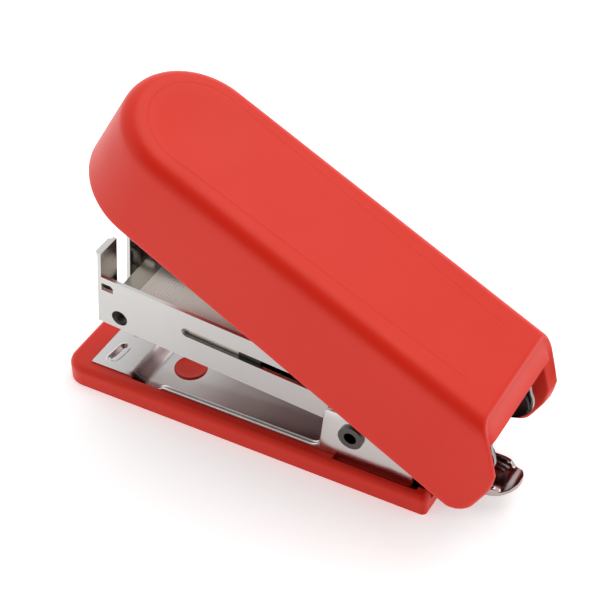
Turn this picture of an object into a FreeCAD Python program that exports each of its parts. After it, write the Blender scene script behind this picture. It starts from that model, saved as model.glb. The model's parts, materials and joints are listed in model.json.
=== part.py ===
import FreeCAD, Part
import math
import os
import Sketcher

# A pocket stapler, modelled at rest. X runs to the stapling end, Y to the stapler's left
# and Z up. The origin is on the table under the middle of the whole outline.
#
# Three local frames are used. Base pieces use the model frame. Magazine pieces are drawn
# about the hinge pin, with x along the channel. Cover pieces are drawn about the cover's
# pivot, with x along the skirt's lower edge. Each piece's Placement takes it to the model frame.

doc = FreeCAD.newDocument("mini_stapler")

SIZES = [
    ("sheet", 0.7, "steel sheet of the magazine and frame"),
    ("base_front", 43.8, "x of the base's front edge"),
    ("base_length", 74.3, "base, front to rear"),
    ("base_width", 21.2, "base, side to side"),
    ("base_height", 4.0, "top of the plastic base"),
    ("base_corner", 4.2, "plan corner of the base"),
    ("base_rear_corner", 1.0, "plan corner of the base at its rear end"),
    ("base_edge", 1.2, "rounded top edge of the base"),
    ("plate_sheet", 0.8, "steel sheet of the base plate"),
    ("anvil_front", 38.8, "x of the anvil's front edge"),
    ("anvil_rear", 30.4, "x where the anvil steps down"),
    ("anvil_top", 4.5, "z of the anvil's face"),
    ("anvil_width", 16.0, "anvil, side to side"),
    ("tray_front", 27.6, "x where the tray floor starts"),
    ("tray_top", 3.0, "z of the tray floor"),
    ("tray_width", 16.7, "tray and ears, outside"),
    ("ear_front", -9.2, "x of the ears' front edge"),
    ("ear_rear", -27.0, "x of the ears' rear edge"),
    ("ear_top", 14.4, "z of the ears' top"),
    ("boss_place", 22.4, "x of the round boss in the tray"),
    ("boss_bore", 3.15, "radius of the hole round the boss"),
    ("tongue_tip", -43.4, "x of the remover tongue's tip"),
    ("tongue_top", 4.3, "z of the tongue's face"),
    ("tongue_width", 8.8, "remover tongue, side to side"),
    ("tip_rise", 1.0, "rise of the tongue's upturned tip"),
    ("hinge_place", -15.2, "x of the hinge pin"),
    ("hinge_height", 10.0, "z of the hinge pin"),
    ("hinge_pin_radius", 1.9, "hollow hinge rivet, outside"),
    ("hinge_pin_bore", 1.2, "hollow hinge rivet, inside"),
    ("channel_inside", 13.1, "magazine inside, for a 12.9 mm staple crown"),
    ("channel_wall", 10.7, "height of the magazine's walls"),
    ("channel_floor", 0.34, "magazine's underside above the hinge pin's axis"),
    ("channel_front", 52.05, "magazine's front face ahead of the hinge pin"),
    ("channel_rear", -17.0, "rear end of the magazine's floor"),
    ("rear_ear_radius", 3.7, "magazine's rear ears, round the cover pivot"),
    ("hinge_lug_radius", 3.3, "magazine's lugs round the hinge pin"),
    ("guide_rise", 5.3, "front guide ears above the walls"),
    ("lip_reach", 0.55, "forward fold at the top of the front guides"),
    ("guide_gap", 4.2, "gap between the front guide ears"),
    ("channel_pitch", 4.8, "degrees that the magazine rests nose up"),
    ("pivot_place", -21.6, "cover pivot along the magazine"),
    ("pivot_height", 7.6, "cover pivot above the hinge pin's axis"),
    ("pivot_radius", 1.5, "cover pivot pin"),
    ("rail_width", 11.4, "staple rail, outside"),
    ("rail_front", 49.8, "front of the staple rail"),
    ("rail_rear", -14.0, "rear of the staple rail"),
    ("rail_top", 6.6, "top of the staple rail"),
    ("rail_slot", 3.4, "width of the slot along the rail"),
    ("staple_front", 46.0, "front of the staple strip"),
    ("staple_rear", 23.6, "rear of the staple strip"),
    ("staple_wire", 0.55, "thickness of the strip's wire"),
    ("pusher_front", 23.5, "front of the pusher"),
    ("pusher_length", 4.2, "pusher, front to rear"),
    ("rod_radius", 0.8, "guide rod"),
    ("rod_height", 4.1, "guide rod's axis above the hinge pin's"),
    ("spring_wire", 0.3, "radius of the pusher spring's wire"),
    ("spring_mean", 1.75, "mean radius of the pusher spring"),
    ("spring_pitch", 1.55, "pitch of the pusher spring"),
    ("cover_pitch", 30.6, "degrees that the cover's edge rests above level"),
    ("cover_half", 13.2, "half of the cover's width"),
    ("cover_wall", 2.0, "cover's wall"),
    ("nose_centre", 68.3, "centre of the cover's round nose"),
    ("skirt_low", -8.4, "lower edge of the skirt below the pivot"),
    ("roof_front", 9.0, "roof above the pivot, at the nose"),
    ("roof_rear", 12.9, "roof above the pivot, at the rear"),
    ("roof_edge", 2.8, "rounded edge round the roof"),
    ("roof_end", 4.6, "rear end of the roof ahead of the pivot"),
    ("lip_low", 9.3, "underside of the thick lip at the roof's rear end"),
    ("skirt_rear", -5.5, "rear end of the skirt from the pivot"),
    ("lobe_radius", 4.2, "round lower rear corner of the skirt"),
    ("press_angle", 3.0, "degrees left between cover and magazine when pressed"),
    ("blade_plane", 71.95, "rear face of the driver blade from the pivot, when pressed"),
    ("blade_width", 12.6, "driver blade, side to side"),
    ("blade_sheet", 0.5, "driver blade's thickness"),
    ("frame_low", 6.1, "underside of the cover frame above the pivot"),
    ("spring_rivet_place", -23.6, "x of the rivet that holds the return spring"),
    ("rivet_shank", 0.7, "radius of the small rivets' shanks"),
    ("frame_front", 70.2, "front end of the cover frame's plate"),
    ("frame_ear_radius", 4.2, "cover frame's ears, round the pivot"),
    ("leaf_sheet", 0.35, "sheet of the two leaf springs"),
    ("leaf_width", 5.0, "cover spring's leaf, side to side"),
    ("leaf_front", -6.5, "front end of the cover spring's foot, along the magazine"),
    ("leaf_bend", -14.9, "rear of the cover spring's bend, along the magazine"),
    ("leaf_rise", 6.4, "lower end of the cover spring's arm, ahead of the pivot"),
    ("leaf_reach", 17.0, "front end of the cover spring's arm, ahead of the pivot"),
    ("front_hole_place", 47.6, "round hole in the magazine's wall, ahead of the hinge pin"),
    ("front_hole_height", 2.9, "height of that hole above the hinge pin's axis"),
    ("front_hole_radius", 1.6, "radius of that hole"),
    ("return_leaf_width", 6.0, "return spring, side to side"),
    ("rivet_head_radius", 1.3, "radius of the small rivets' heads"),
    ("blade_rivet_place", 67.0, "rivets of the driver blade, ahead of the pivot"),
    ("blade_rivet_side", 3.4, "rivets of the driver blade, off the middle"),
    ("clearance", 0.05, "gap round the base plate in its pocket"),
    ("tongue_slot_half", 1.9, "half width of the tongue's recess"),
]

# Outlines that stay the same when a size is changed, as corners in order, in millimetres.
CLINCH_GROOVE = [(35.6, 1.5), (37.0, 1.9), (37.4, 5.4), (36.4, 6.2), (35.2, 5.8), (34.6, 2.2)]
WALL_NOTCH = [(48.9, 8.1), (51.3, 8.1), (51.3, 9.7), (49.4, 9.7), (48.9, 9.2)]
WALL_SLOT = [(5.0, 5.5), (33.9, 5.5), (34.5, 5.8), (34.8, 6.45), (34.5, 7.1), (33.9, 7.4), (5.0, 7.4)]
THROUGH = 40

sheet = doc.addObject("Spreadsheet::Sheet", "Sizes")
for row, (alias, value, note) in enumerate(SIZES, start=1):
    sheet.set("A%d" % row, note)
    sheet.set("B%d" % row, str(value))
    sheet.setAlias("B%d" % row, alias)
doc.recompute()
SIZE_NAMES = sorted((alias for alias, _, _ in SIZES), key=len, reverse=True)


def bound(text):
    """Write an expression with each size named as a cell of the sheet."""
    words = []
    word = ""
    for letter in str(text) + " ":
        if letter.isalnum() or letter == "_" or letter == ".":
            word += letter
            continue
        words.append("Sizes." + word if word in SIZE_NAMES else word)
        words.append(letter)
        word = ""
    return "".join(words).strip()


def size(alias):
    """Read one size from the sheet."""
    return float(sheet.get(alias))


def new_body(label):
    body = doc.addObject("PartDesign::Body", label)
    body.Label = label
    return body


def origin_plane(body, role):
    return next(f for f in body.Origin.OriginFeatures if f.Role == role)


def new_sketch(body, role, offset=None):
    """Attach an empty sketch to one of the body's planes, raised by an offset."""
    sketch = body.newObject("Sketcher::SketchObject", body.Name + "_sketch")
    sketch.AttachmentSupport = [(origin_plane(body, role), "")]
    sketch.MapMode = "FlatFace"
    if offset is not None:
        sketch.setExpression("AttachmentOffset.Base.z", bound(offset))
    return sketch


def draw_outline(sketch, corners):
    """Draw a closed outline of straight lines through (across, up) corners."""
    guess = [FreeCAD.Vector(evaluate(a), evaluate(b), 0) for a, b in corners]
    count = len(corners)
    for i in range(count):
        line = Part.LineSegment(guess[i], guess[(i + 1) % count])
        sketch.addGeometry(line, False)
    for i in range(count):
        sketch.addConstraint(Sketcher.Constraint("Coincident", i, 2, (i + 1) % count, 1))
    for i, (across, up) in enumerate(corners):
        set_point(sketch, i, across, up)


def set_point(sketch, line, across, up):
    """Tie the start of a line to its place, in signed distances from the origin."""
    for kind, text in (("DistanceX", across), ("DistanceY", up)):
        value = evaluate(text)
        number = sketch.addConstraint(Sketcher.Constraint(kind, -1, 1, line, 1, value))
        if not is_number(text):
            sketch.setExpression("Constraints[%d]" % number, bound(text))


def is_number(text):
    return isinstance(text, (int, float))


def evaluate(text):
    """Work out an expression from the sheet's present values."""
    if is_number(text):
        return float(text)
    probe = doc.getObject("Probe") or doc.addObject("App::FeaturePython", "Probe")
    if "Value" not in probe.PropertiesList:
        probe.addProperty("App::PropertyFloat", "Value")
    probe.setExpression("Value", bound(text))
    probe.recompute()
    return probe.Value


def draw_circle(sketch, across, up, radius):
    centre = FreeCAD.Vector(evaluate(across), evaluate(up), 0)
    item = sketch.addGeometry(Part.Circle(centre, FreeCAD.Vector(0, 0, 1), evaluate(radius)), False)
    for kind, text in (("DistanceX", across), ("DistanceY", up)):
        number = sketch.addConstraint(Sketcher.Constraint(kind, -1, 1, item, 3, evaluate(text)))
        if not is_number(text):
            sketch.setExpression("Constraints[%d]" % number, bound(text))
    number = sketch.addConstraint(Sketcher.Constraint("Radius", item, evaluate(radius)))
    if not is_number(radius):
        sketch.setExpression("Constraints[%d]" % number, bound(radius))


def bind(item, prop, text):
    if is_number(text):
        setattr(item, prop, float(text))
    else:
        item.setExpression(prop, bound(text))


def feature(body, kind, sketch, length, symmetric, reverse=False):
    item = body.newObject("PartDesign::" + kind, "%s_%s" % (body.Name, kind.lower()))
    item.Profile = sketch
    item.Type = "Length"
    item.SideType = "Symmetric" if symmetric else "One side"
    item.Reversed = reverse
    bind(item, "Length", length)
    sketch.Visibility = False
    doc.recompute()
    return item


def side_pad(body, corners, width):
    """Pad a side outline, in x and z, evenly to both sides."""
    sketch = new_sketch(body, "XZ_Plane")
    draw_outline(sketch, corners)
    return feature(body, "Pad", sketch, width, True)


def side_pocket(body, corners, width):
    sketch = new_sketch(body, "XZ_Plane")
    draw_outline(sketch, corners)
    return cut_checked(body, sketch, width, True)


def side_bore(body, across, up, radius, width):
    sketch = new_sketch(body, "XZ_Plane")
    draw_circle(sketch, across, up, radius)
    return cut_checked(body, sketch, width, True)


def side_disc(body, across, up, radius, width):
    sketch = new_sketch(body, "XZ_Plane")
    draw_circle(sketch, across, up, radius)
    return feature(body, "Pad", sketch, width, True)


def plan_pad(body, corners, low, height):
    """Pad a plan outline, in x and y, upward from a height."""
    sketch = new_sketch(body, "XY_Plane", low)
    draw_outline(sketch, corners)
    return feature(body, "Pad", sketch, height, False)


def plan_disc(body, across, up, radius, low, height):
    sketch = new_sketch(body, "XY_Plane", low)
    draw_circle(sketch, across, up, radius)
    return feature(body, "Pad", sketch, height, False)


def plan_pocket(body, corners, low, height):
    """Cut a plan outline upward from a height."""
    sketch = new_sketch(body, "XY_Plane", low)
    draw_outline(sketch, corners)
    return cut_checked(body, sketch, height, False, True)


def plan_bore(body, across, up, radius, low, height):
    sketch = new_sketch(body, "XY_Plane", low)
    draw_circle(sketch, across, up, radius)
    return cut_checked(body, sketch, height, False, True)


def cut_checked(body, sketch, length, symmetric, reverse=False):
    before = body.Shape.Volume
    item = feature(body, "Pocket", sketch, length, symmetric, reverse)
    if not body.Shape.Volume < before - 1e-4:
        raise RuntimeError("a cut in %s removed nothing" % body.Label)
    return item


def rounded(body, radius, chosen):
    """Round the edges of the body's tip that the test picks."""
    base = body.Tip
    names = ["Edge%d" % (i + 1) for i, edge in enumerate(base.Shape.Edges) if chosen(edge)]
    if not names:
        raise RuntimeError("no edge to round in %s" % body.Label)
    item = body.newObject("PartDesign::Fillet", body.Name + "_round")
    item.Base = (base, names)
    bind(item, "Radius", radius)
    doc.recompute()
    return item


def upright(edge):
    """True for a straight edge that runs along z."""
    box = edge.BoundBox
    return box.ZLength > 0.3 and box.XLength < 1e-6 and box.YLength < 1e-6


def crosswise(edge, across, up, near=0.05):
    """True for an edge along y at a given x and z."""
    box = edge.BoundBox
    flat = box.XLength < 1e-6 and box.ZLength < 1e-6
    return flat and abs(box.XMin - across) < near and abs(box.ZMin - up) < near


def rectangle(x_low, x_high, y_low, y_high):
    return [(x_low, y_low), (x_high, y_low), (x_high, y_high), (x_low, y_high)]


def make_base_cover():
    """The red plastic base: a slab with a pocket that the base plate lies in."""
    body = new_body("base_cover")
    rear = "base_front - base_length"
    plan_pad(body, rectangle(rear, "base_front", "-base_width / 2", "base_width / 2"), 0, "base_height")
    rounded(body, "base_corner", lambda e: upright(e) and e.BoundBox.XMin > 0)
    rounded(body, "base_rear_corner", lambda e: upright(e) and e.BoundBox.XMax < size("ear_rear"))
    top = size("base_height")
    rounded(body, "base_edge", lambda e: e.BoundBox.ZMin > top - 1e-3)
    anvil_low = "anvil_top - plate_sheet"
    plan_pocket(body, rectangle("anvil_rear - 4", "anvil_front", "-anvil_width / 2", "anvil_width / 2"),
                anvil_low, 2)
    tray_low = "tray_top - plate_sheet"
    half = "tray_width / 2 + clearance"
    plan_pocket(body, rectangle(rear + " - 1", "anvil_rear - 0.4", "-(%s)" % half, half), tray_low, 3)
    recess = "base_width / 2 - base_edge - 0.1"
    plan_pocket(body, rectangle(rear + " + 2.4", "ear_front - 2.6", "-(%s)" % recess, recess),
                "base_height - 1.1", 2)
    plan_disc(body, "boss_place", 0, "boss_bore - 0.25", "tray_top - plate_sheet - 0.5", 1.1)
    return body


def make_base_plate():
    """The steel base plate: anvil, stepped tray, hinge ears and remover tongue in one sheet."""
    body = new_body("base_plate")
    low = "tray_top - plate_sheet"
    rear = -28.6
    side_pad(body, [(rear, low), ("tray_front", low), ("tray_front + 2", "anvil_top - plate_sheet"),
                    ("anvil_front", "anvil_top - plate_sheet"), ("anvil_front", "anvil_top"),
                    ("anvil_rear", "anvil_top"), ("tray_front + 0.6", "tray_top"), (rear, "tray_top")],
             "anvil_width")
    inner = "tray_width / 2 - plate_sheet"
    outer = "tray_width / 2"
    for side in (1, -1):
        wall = rectangle("ear_rear", "tray_front - 1.6", "%d * (%s)" % (side, inner),
                         "%d * (%s)" % (side, outer))
        plan_pad(body, wall, low, "anvil_top - (%s)" % low)
    ears = new_sketch(body, "XZ_Plane")
    draw_outline(ears, [("ear_rear", low), ("ear_front - 1.5", low), ("ear_front", "anvil_top + 0.6"),
                        ("ear_front - 1", "ear_top - 2"), ("ear_front - 3.4", "ear_top"),
                        ("ear_rear + 3", "ear_top"), ("ear_rear", "ear_top - 3")])
    feature(body, "Pad", ears, outer + " * 2", True)
    hollow = new_sketch(body, "XZ_Plane")
    draw_outline(hollow, rectangle("ear_rear - 1", "ear_front + 1", "tray_top", "ear_top + 1"))
    cut_checked(body, hollow, "2 * (%s)" % inner, True)
    remover_tongue(body, rear, low)
    plan_bore(body, "boss_place", 0, "boss_bore", low, 2)
    plan_bore(body, "spring_rivet_place", 0, "rivet_shank", low, 2)
    side_bore(body, "hinge_place", "hinge_height", "hinge_pin_radius", THROUGH)
    for side in (1, -1):
        plan_pocket(body, [(x, side * y) for x, y in CLINCH_GROOVE], "anvil_top - 0.45", 1)
    return body


def remover_tongue(body, rear, low):
    """Add the tongue: a step up, a flat with a recess, raised edges and an upturned rounded tip."""
    flat = "tongue_top - plate_sheet"
    bend = "tongue_tip + 2.6"
    side_pad(body, [(rear, low), (rear, "tongue_top"), (bend, "tongue_top"),
                    ("tongue_tip", "tongue_top + tip_rise"),
                    ("tongue_tip", "tongue_top + tip_rise - plate_sheet"), (bend, flat),
                    (rear - 0.8, flat), (rear - 0.8, low)], "tongue_width")
    for side in (1, -1):
        half = "%d * tongue_width / 2" % side
        beyond = "%d * (tongue_width / 2 + 1)" % side
        taper = [(-38.4, half), (-41.6, "%d * 3.3" % side), ("tongue_tip + 0.9", "%d * 2.6" % side),
                 ("tongue_tip + 0.25", "%d * 1.6" % side), ("tongue_tip - 1", "%d * 0.6" % side),
                 ("tongue_tip - 1", beyond), (-38.4, beyond)]
        plan_pocket(body, taper, low, 4)
        curb = [("ear_rear - 2.5", "%d * (tongue_width / 2 - plate_sheet)" % side), ("ear_rear - 2.5", half),
                (-38.4, half), (-40.2, "%d * 3.77" % side), (-40.0, "%d * 3.0" % side),
                (-38.2, "%d * (tongue_width / 2 - plate_sheet)" % side)]
        plan_pad(body, curb, flat, "plate_sheet + 1.0")
    recess = rectangle("tongue_tip + 3.7", "tongue_tip + 8.8", "-tongue_slot_half", "tongue_slot_half")
    plan_pocket(body, recess, flat + " + 0.4", 1.5)


def make_hinge_pin():
    """The hollow rivet that joins the ears to the magazine, with a thin head at each end."""
    body = new_body("hinge_pin")
    side_disc(body, "hinge_place", "hinge_height", "hinge_pin_radius - 0.03", "tray_width + 0.7")
    head = "tray_width + 1.1"
    side_disc(body, "hinge_place", "hinge_height", "hinge_pin_radius + 0.45", head)
    side_pocket_ring(body, head)
    side_bore(body, "hinge_place", "hinge_height", "hinge_pin_bore", 40)
    return body


def side_pocket_ring(body, head):
    """Leave the head's extra radius only outside the ears."""
    sketch = new_sketch(body, "XZ_Plane")
    draw_circle(sketch, "hinge_place", "hinge_height", "hinge_pin_radius + 1")
    draw_circle(sketch, "hinge_place", "hinge_height", "hinge_pin_radius - 0.03")
    return cut_checked(body, sketch, "tray_width + 0.04", True)


def make_return_spring():
    """The leaf spring under the magazine: a foot on the tray and an arm that lifts the channel."""
    body = new_body("return_spring")
    over = "tray_top + leaf_sheet"
    side_pad(body, [(-26.0, "tray_top"), (-20.6, "tray_top"), (-13.4, 7.2), (-8.4, 10.1), (-7.2, 10.0),
                    (-7.2, "10.0 + leaf_sheet"), (-8.5, "10.1 + leaf_sheet"), (-13.7, "7.2 + leaf_sheet"),
                    (-20.8, over), (-26.0, over)], "return_leaf_width")
    plan_bore(body, "spring_rivet_place", 0, "rivet_shank", "tray_top - 0.5", 1.2)
    return body


def make_spring_rivet():
    body = new_body("spring_rivet")
    plan_disc(body, "spring_rivet_place", 0, "rivet_head_radius", "tray_top + leaf_sheet", 0.5)
    plan_disc(body, "spring_rivet_place", 0, "rivet_shank", "tray_top - plate_sheet", "plate_sheet + 0.5")
    return body


def make_magazine():
    """The steel channel that holds the rail, with folded front guides and round rear ears."""
    body = new_body("magazine")
    low = "channel_floor"
    top = "channel_floor + channel_wall"
    guide = "channel_floor + channel_wall + guide_rise"
    outside = "channel_inside + 2 * sheet"
    side_pad(body, [("channel_rear", low), ("channel_front", low), ("channel_front", guide),
                    ("channel_front - sheet", guide), ("channel_front - sheet", top),
                    ("pivot_place + 0.8", top), ("pivot_place", "pivot_height"),
                    ("pivot_place - 0.6", "pivot_height - rear_ear_radius + 0.04")], outside)
    side_disc(body, "pivot_place", "pivot_height", "rear_ear_radius", outside)
    side_disc(body, 0, 0, "hinge_lug_radius", outside)
    side_pocket(body, [(-30, low + " + sheet"), ("-hinge_lug_radius", low + " + sheet"),
                       ("-hinge_lug_radius", -6), ("hinge_lug_radius", -6),
                       ("hinge_lug_radius", low + " + sheet"), ("channel_front - sheet", low + " + sheet"),
                       ("channel_front - sheet", guide + " + 1"), (-30, guide + " + 1")],
                "channel_inside")
    gap = new_sketch(body, "XZ_Plane")
    draw_outline(gap, rectangle("channel_front - sheet - 0.4", "channel_front + 1", low + " + sheet",
                                guide + " + 1"))
    cut_checked(body, gap, "guide_gap", True)
    side_pocket(body, rectangle("channel_front - 1.7", "channel_front + 1", low + " - 1", low + " + sheet"),
                "channel_inside")
    side_bore(body, 0, 0, "hinge_pin_radius", THROUGH)
    side_bore(body, "pivot_place", "pivot_height", "pivot_radius", THROUGH)
    for corners in (WALL_NOTCH, WALL_SLOT):
        side_pocket(body, corners, THROUGH)
    side_bore(body, "front_hole_place", "front_hole_height", "front_hole_radius", THROUGH)
    lips(body, guide)
    return body


def lips(body, guide):
    """Fold the tops of the front guides forward to lead the blade in."""
    half = "channel_inside / 2 + sheet"
    for side in (1, -1):
        lip = [("channel_front - 0.1", "%d * (guide_gap / 2 + 0.4)" % side),
               ("channel_front + lip_reach", "%d * (guide_gap / 2 + 0.9)" % side),
               ("channel_front + lip_reach", "%d * (%s - 0.4)" % (side, half)),
               ("channel_front - 0.1", "%d * (%s)" % (side, half))]
        plan_pad(body, lip, guide + " - sheet", "sheet")


def make_staple_rail():
    """The inverted channel that the strip straddles, slotted along its top for the pusher's rod."""
    body = new_body("staple_rail")
    low = "channel_floor + sheet"
    side_pad(body, [("rail_rear", low), ("rail_front", low), ("rail_front", "rail_top"),
                    ("rail_rear", "rail_top")], "rail_width")
    side_pocket(body, rectangle("rail_rear - 1", "rail_front + 1", low, "rail_top - 0.6"),
                "rail_width - 1.2")
    slot = new_sketch(body, "XZ_Plane")
    draw_outline(slot, rectangle("rail_rear - 1", "rail_front - 8", "rail_top - 1", "rail_top + 1"))
    cut_checked(body, slot, "rail_slot", True)
    foot_front = new_sketch(body, "XZ_Plane")
    draw_outline(foot_front, rectangle("rail_front - 5", "rail_front - 0.4", low, low + " + 0.6"))
    feature(body, "Pad", foot_front, "rail_width - 1", True)
    side_bore(body, 0, 0, "hinge_pin_radius + 0.4", THROUGH)
    return body


def make_guide_rod():
    """The rod that the pusher and its spring run on, held by the rod holder."""
    body = new_body("guide_rod")
    sketch = new_sketch(body, "YZ_Plane", "rail_rear + 2")
    draw_circle(sketch, 0, "rod_height", "rod_radius")
    feature(body, "Pad", sketch, "rail_front - 3 - rail_rear - 2", False)
    return body


def make_rod_holder(label, place):
    """A bent tab across the rail that carries one end of the guide rod."""
    body = new_body(label)
    low = "channel_floor + sheet + 0.6" if label == "rod_front_holder" else "channel_floor + sheet"
    side_pad(body, [(place, low), (place + " + 0.7", low), (place + " + 0.7", "rail_top - 0.65"),
                    (place, "rail_top - 0.65")], 5)
    sketch = new_sketch(body, "YZ_Plane", place + " - 1")
    draw_circle(sketch, 0, "rod_height", "rod_radius + 0.02")
    cut_checked(body, sketch, 3, False, True)
    return body


def make_pivot_pin():
    """Two short studs, each through one of the magazine's rear ears and one of the frame's."""
    body = new_body("cover_pivot_pin")
    width = "channel_inside + 4 * sheet + 1.6"
    side_disc(body, "pivot_place", "pivot_height", "pivot_radius - 0.03", width)
    side_pocket(body, rectangle("pivot_place - 3", "pivot_place + 3", "pivot_height - 3", "pivot_height + 3"),
                "channel_inside - 0.5")
    return body


def make_staple_strip():
    """A part-used strip: an inverted U of glued wires."""
    body = new_body("staple_strip")
    low = "channel_floor + sheet + 0.15"
    top = "rail_top + 0.1 + staple_wire"
    side_pad(body, [("staple_rear", low), ("staple_front", low), ("staple_front", top),
                    ("staple_rear", top)], "channel_inside - 0.2")
    side_pocket(body, rectangle("staple_rear - 1", "staple_front + 1", low + " - 1", "rail_top + 0.1"),
                "channel_inside - 0.2 - 2 * staple_wire")
    return body


def make_pusher():
    """The black slider that straddles the rail behind the strip and runs on the rod."""
    body = new_body("pusher")
    back = "pusher_front - pusher_length"
    top = "rail_top + 1.6"
    low = "channel_floor + sheet + 0.4"
    side_pad(body, [(back, low), ("pusher_front", low), ("pusher_front", top),
                    (back + " + 1", top), (back, top + " - 1")], "channel_inside - 0.3")
    side_pocket(body, rectangle(back + " - 1", "pusher_front + 1", low + " - 1", "rail_top + 0.15"),
                "rail_width + 0.2")
    web = new_sketch(body, "XZ_Plane")
    draw_outline(web, rectangle("pusher_front - 2.4", "pusher_front", "rod_height - 1.7", top))
    feature(body, "Pad", web, "rail_slot - 0.3", True)
    sketch = new_sketch(body, "YZ_Plane", "pusher_front - 5")
    draw_circle(sketch, 0, "rod_height", "rod_radius + 0.06")
    cut_checked(body, sketch, 9, False, True)
    return body


def make_pusher_spring():
    """The coil spring that drives the pusher forward, wound round the guide rod."""
    start = size("rail_rear") + 2.8
    length = size("pusher_front") - 2.5 - start
    mean = size("spring_mean")
    helix = Part.makeHelix(size("spring_pitch"), length - 0.8, mean)
    section = Part.Circle(FreeCAD.Vector(mean, 0, 0), FreeCAD.Vector(0, 1, 0), size("spring_wire"))
    profile = Part.Wire([section.toShape()])
    coil = Part.Wire(helix).makePipeShell([profile], True, True)
    turned = FreeCAD.Placement(FreeCAD.Vector(start + 0.4, 0, size("rod_height")),
                               FreeCAD.Rotation(FreeCAD.Vector(0, 1, 0), 90))
    item = doc.addObject("Part::Feature", "pusher_spring")
    item.Shape = coil.transformGeometry(turned.toMatrix())
    item.Label = "pusher_spring"
    return item


def make_top_cover():
    """The red plastic cover: a round-nosed shell, open below and behind."""
    body = new_body("top_cover")
    nose = "nose_centre + cover_half"
    side_pad(body, [("skirt_rear", "skirt_low"), (nose, "skirt_low"), (nose, "roof_front"),
                    ("roof_end", "roof_rear"), ("skirt_rear + 1", 4.6), ("skirt_rear", 1.0)],
             "2 * cover_half")
    low = size("skirt_low")
    rounded(body, "lobe_radius", lambda e: crosswise(e, size("skirt_rear"), low))
    front = size("nose_centre") + size("cover_half")
    rounded(body, "cover_half - 0.02", lambda e: upright(e) and abs(e.BoundBox.XMin - front) < 0.1)
    rounded(body, "roof_edge", lambda e: e.BoundBox.ZMin > size("roof_front") - 0.2
            and e.BoundBox.XLength > 1.0)
    inner = "2 * (cover_half - cover_wall)"
    side_pocket(body, [("skirt_rear - 2", "skirt_low - 1"), ("nose_centre", "skirt_low - 1"),
                       ("nose_centre", "roof_front - cover_wall + 0.5"),
                       ("roof_end + 0.6", "roof_rear - cover_wall"), ("roof_end + 0.6", "lip_low"),
                       ("skirt_rear - 2", "lip_low")], inner)
    plan_bore(body, "nose_centre", 0, "cover_half - cover_wall", "skirt_low - 1",
              "roof_front - cover_wall - skirt_low + 1")
    return body


def make_cover_frame():
    """The steel frame inside the cover: a long plate with two ears round the pivot."""
    body = new_body("cover_frame")
    width = "channel_inside + 4 * sheet + 0.5"
    between = "channel_inside + 2 * sheet + 0.5"
    side_pad(body, [(-2.6, 3.0), (3.0, -2.6), (9.4, "frame_low"), ("frame_front", "frame_low"),
                    ("frame_front", "frame_low + 0.8"), (0.6, "frame_low + 0.8")], width)
    side_disc(body, 0, 0, "frame_ear_radius", width)
    side_pocket(body, rectangle(-8, 80, -8, "frame_low"), between)
    side_pocket(body, rectangle(-8, 12, -8, 12), between)
    side_bore(body, 0, 0, "pivot_radius", THROUGH)
    return body


def make_driver_blade():
    """The blade that drives the staple, with a top tab under the frame plate."""
    body = new_body("driver_blade")
    tip = "-pivot_height + channel_floor + 0.15"
    front = "blade_plane + blade_sheet"
    tab_rear = "blade_plane - 9"
    under = "(frame_low - 0.02 + (%s) * sin(press_angle)) / cos(press_angle)"
    side_pad(body, [("blade_plane", tip), (front, tip), (front, under % front),
                    (tab_rear, under % tab_rear), (tab_rear, under % tab_rear + " - blade_sheet"),
                    ("blade_plane", under % "blade_plane" + " - blade_sheet")], "blade_width")
    return body


def make_blade_rivets():
    body = new_body("blade_rivets")
    for side in (1, -1):
        plan_disc(body, "blade_rivet_place", "%d * blade_rivet_side" % side, "rivet_head_radius",
                  "frame_low - blade_sheet - 0.42", 0.4)
    return body


def make_cover_spring():
    """The foot and bend of the leaf that lifts the cover; it lies on top of the staple rail."""
    body = new_body("cover_spring")
    over = "rail_top + leaf_sheet"
    side_pad(body, [("leaf_front", "rail_top"), ("leaf_bend + 1.9", "rail_top"),
                    ("leaf_bend + 0.3", "rail_top + 0.8"), ("leaf_bend", "rail_top + 2.4"),
                    ("leaf_bend + leaf_sheet", "rail_top + 2.4"),
                    ("leaf_bend + leaf_sheet + 0.25", "rail_top + 1.1"),
                    ("leaf_bend + leaf_sheet + 1.65", over), ("leaf_front", over)], "leaf_width")
    return body


def make_cover_spring_arm():
    """The upper part of the same leaf, which lies under the cover frame's plate."""
    body = new_body("cover_spring_arm")
    over = "frame_low - 0.03"
    under = "frame_low - 0.03 - leaf_sheet"
    side_pad(body, [("leaf_rise", 1.9), ("leaf_rise + 1.6", 4.4), ("leaf_rise + 3.6", under + " - 0.2"),
                    ("leaf_reach", under), ("leaf_reach", over), ("leaf_rise + 3.45", over + " - 0.2"),
                    ("leaf_rise + 1.3", 4.65), ("leaf_rise - 0.4", 2.0)], "leaf_width")
    return body


def place(item, x, z, pitch):
    """Turn a piece nose up by its pitch, and move its local origin to x and z."""
    item.Placement = FreeCAD.Placement(FreeCAD.Vector(x, 0, z),
                                       FreeCAD.Rotation(FreeCAD.Vector(0, 1, 0), -pitch))


base_parts = [make_base_cover(), make_base_plate(), make_hinge_pin(), make_return_spring(),
              make_spring_rivet()]
magazine_parts = [make_magazine(), make_staple_rail(), make_guide_rod(),
                  make_rod_holder("rod_rear_holder", "rail_rear + 2"),
                  make_rod_holder("rod_front_holder", "rail_front - 4"),
                  make_pivot_pin(), make_staple_strip(), make_pusher(), make_pusher_spring(),
                  make_cover_spring()]
cover_parts = [make_top_cover(), make_cover_frame(), make_cover_spring_arm()]
pressed_parts = [make_driver_blade(), make_blade_rivets()]

pitch = size("channel_pitch")
turn = math.radians(pitch)
hinge_x, hinge_z = size("hinge_place"), size("hinge_height")
pivot_x = hinge_x + size("pivot_place") * math.cos(turn) - size("pivot_height") * math.sin(turn)
pivot_z = hinge_z + size("pivot_place") * math.sin(turn) + size("pivot_height") * math.cos(turn)
cover_pitch = size("cover_pitch")

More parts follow.
